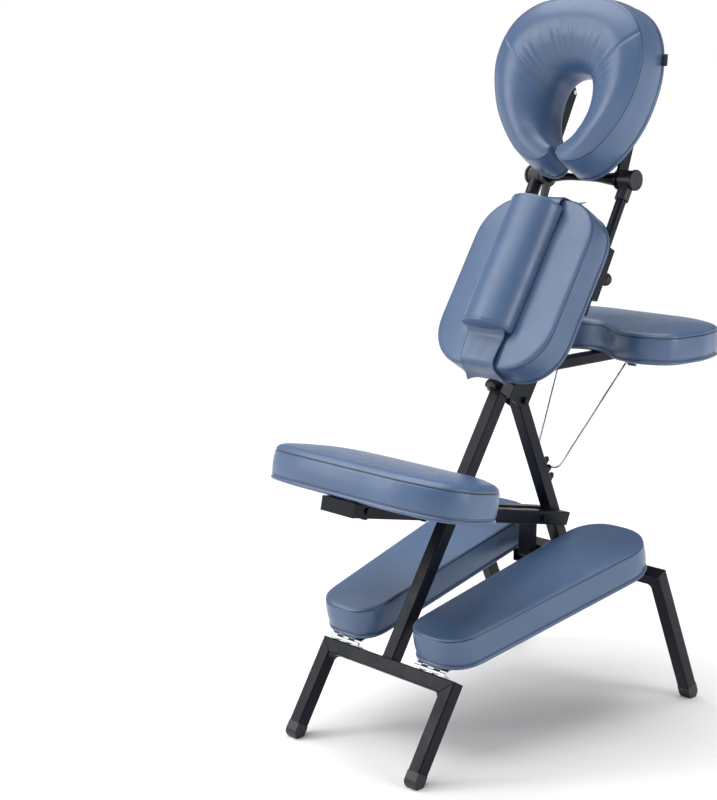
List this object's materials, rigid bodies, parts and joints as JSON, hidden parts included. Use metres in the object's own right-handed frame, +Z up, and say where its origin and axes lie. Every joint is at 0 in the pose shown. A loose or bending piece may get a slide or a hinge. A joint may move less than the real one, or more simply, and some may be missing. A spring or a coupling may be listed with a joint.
{
  "type": "folding massage chair",
  "caption": "Folding kneeling massage chair: a black square-tube A-frame carries a padded seat, shin pads, chest pad with bolster, armrest and tilting horseshoe face cradle.",
  "frame": {"origin": "centre of the bounding box, on the floor between the front and rear feet", "axes": "+Z up, +Y the way the sitter faces, +X to the sitter's right"},
  "size_m": [0.465, 0.838, 1.2875],
  "materials": {
    "pad_vinyl": "satin grained synthetic leather",
    "frame_steel": "satin black powder coat",
    "board": "plywood with black backing cloth",
    "black_plastic": "matte moulded",
    "zinc_steel": "zinc plated",
    "chrome": "polished",
    "black_rubber": "matte"
  },
  "bodies": {
    "front_frame": {"front_spine": "frame_steel", "spine_collar": "black_plastic", "front_crossbar": "frame_steel", "front_legs": "frame_steel", "front_feet": "black_plastic", "pivot_bracket": "frame_steel", "bracket_bolts": "zinc_steel", "seat_pivot_bolt": "zinc_steel", "shin_hinge_base": "zinc_steel", "shin_hinge_pins": "zinc_steel"},
    "rear_frame": {"rear_strut": "frame_steel", "rear_crossbar": "frame_steel", "rear_legs": "frame_steel", "rear_feet": "black_plastic", "crossbar_channel": "frame_steel", "prop_rack": "frame_steel", "shin_rests": "black_rubber"},
    "seat": {"seat_bars": "frame_steel", "seat_board": "board", "seat_cushion": "pad_vinyl", "seat_bolts": "zinc_steel", "link_pin": "zinc_steel"},
    "brace": {"brace_link": "frame_steel", "brace_roller": "black_plastic"},
    "shin_pad_left": {"shin_board_left": "board", "shin_cushion_left": "pad_vinyl", "shin_hinge_leaf_left": "zinc_steel"},
    "shin_pad_right": {"shin_board_right": "board", "shin_cushion_right": "pad_vinyl", "shin_hinge_leaf_right": "zinc_steel"},
    "chest": {"carrier_frame": "frame_steel", "chest_plate": "frame_steel", "chest_board": "board", "chest_cushion": "pad_vinyl", "chest_bolster": "pad_vinyl", "bolster_straps": "pad_vinyl", "post_sockets": "black_plastic"},
    "height_lock": {"height_lock_knob": "black_plastic"},
    "clamp_knob_left": {"post_knob_left": "black_plastic"},
    "clamp_knob_right": {"post_knob_right": "black_plastic"},
    "headrest_frame": {"headrest_posts": "frame_steel", "cradle_hubs": "black_plastic", "cradle_crossbar": "frame_steel", "hub_caps": "black_plastic"},
    "face_cradle": {"cradle_arms": "frame_steel", "cradle_brackets": "frame_steel", "cradle_levers": "zinc_steel", "cradle_rivets": "zinc_steel", "cradle_platform": "board", "face_cushion": "pad_vinyl"},
    "tilt_clamp": {"tilt_clamp_lever": "black_plastic"},
    "armrest": {"armrest_bar": "frame_steel", "armrest_bar_plugs": "black_plastic", "armrest_board": "board", "armrest_cushion": "pad_vinyl", "armrest_screws": "zinc_steel", "prop_clips": "black_plastic"},
    "prop": {"armrest_prop": "chrome"}
  },
  "joints": [
    {"name": "rear_fold", "type": "hinge", "parent": "front_frame", "child": "rear_frame", "pos_m": [0, 0.02552, 0.57356], "axis": [-1, 0, 0], "range_deg": [0, 10]},
    {"name": "seat_tilt", "type": "hinge", "parent": "front_frame", "child": "seat", "pos_m": [0, -0.14718, 0.39678], "axis": [-1, 0, 0], "range_deg": [0, 4.3]},
    {"name": "brace_swing", "type": "hinge", "parent": "seat", "child": "brace", "pos_m": [0, 0.06087, 0.35256], "axis": [-1, 0, 0], "range_deg": [0, 31]},
    {"name": "shin_left_lift", "type": "hinge", "parent": "front_frame", "child": "shin_pad_left", "pos_m": [-0.104, -0.30786, 0.17113], "axis": [1, 0, 0], "range_deg": [0, 35]},
    {"name": "shin_right_lift", "type": "hinge", "parent": "front_frame", "child": "shin_pad_right", "pos_m": [0.104, -0.30786, 0.17113], "axis": [1, 0, 0], "range_deg": [0, 35]},
    {"name": "chest_height", "type": "slide", "parent": "front_frame", "child": "chest", "axis": [0, 0.527, 0.8499], "range_m": [0, 0.054]},
    {"name": "height_lock_pull", "type": "slide", "parent": "front_frame", "child": "height_lock", "axis": [0, -0.8499, 0.527], "range_m": [0, 0.006]},
    {"name": "clamp_turn_left", "type": "hinge", "parent": "chest", "child": "clamp_knob_left", "pos_m": [-0.105, 0.1352, 0.7922], "axis": [0, 0.8821, -0.471], "range_deg": [0, 180]},
    {"name": "clamp_turn_right", "type": "hinge", "parent": "chest", "child": "clamp_knob_right", "pos_m": [0.105, 0.1352, 0.7922], "axis": [0, 0.8821, -0.471], "range_deg": [0, 180]},
    {"name": "headrest_height", "type": "slide", "parent": "chest", "child": "headrest_frame", "axis": [0, 0.471, 0.8821], "range_m": [-0.02, 0.08]},
    {"name": "cradle_tilt", "type": "hinge", "parent": "headrest_frame", "child": "face_cradle", "pos_m": [0, 0.194, 0.966], "axis": [1, 0, 0], "range_deg": [-20, 15]},
    {"name": "tilt_clamp_turn", "type": "hinge", "parent": "headrest_frame", "child": "tilt_clamp", "pos_m": [-0.0803, 0.194, 0.966], "axis": [1, 0, 0], "range_deg": [0, 60]},
    {"name": "armrest_lift", "type": "hinge", "parent": "front_frame", "child": "armrest", "pos_m": [0, 0.059, 0.627], "axis": [1, 0, 0], "range_deg": [0, 25]},
    {"name": "prop_swing", "type": "hinge", "parent": "armrest", "child": "prop", "pos_m": [0, 0.242, 0.626], "axis": [-1, 0, 0], "range_deg": [0, 7.5]}
  ],
  "couplings": [
    {"joint": "seat_tilt", "follows": "rear_fold", "ratio": 0.43},
    {"joint": "brace_swing", "follows": "rear_fold", "ratio": 3.1},
    {"joint": "prop_swing", "follows": "armrest_lift", "ratio": 0.3}
  ]
}
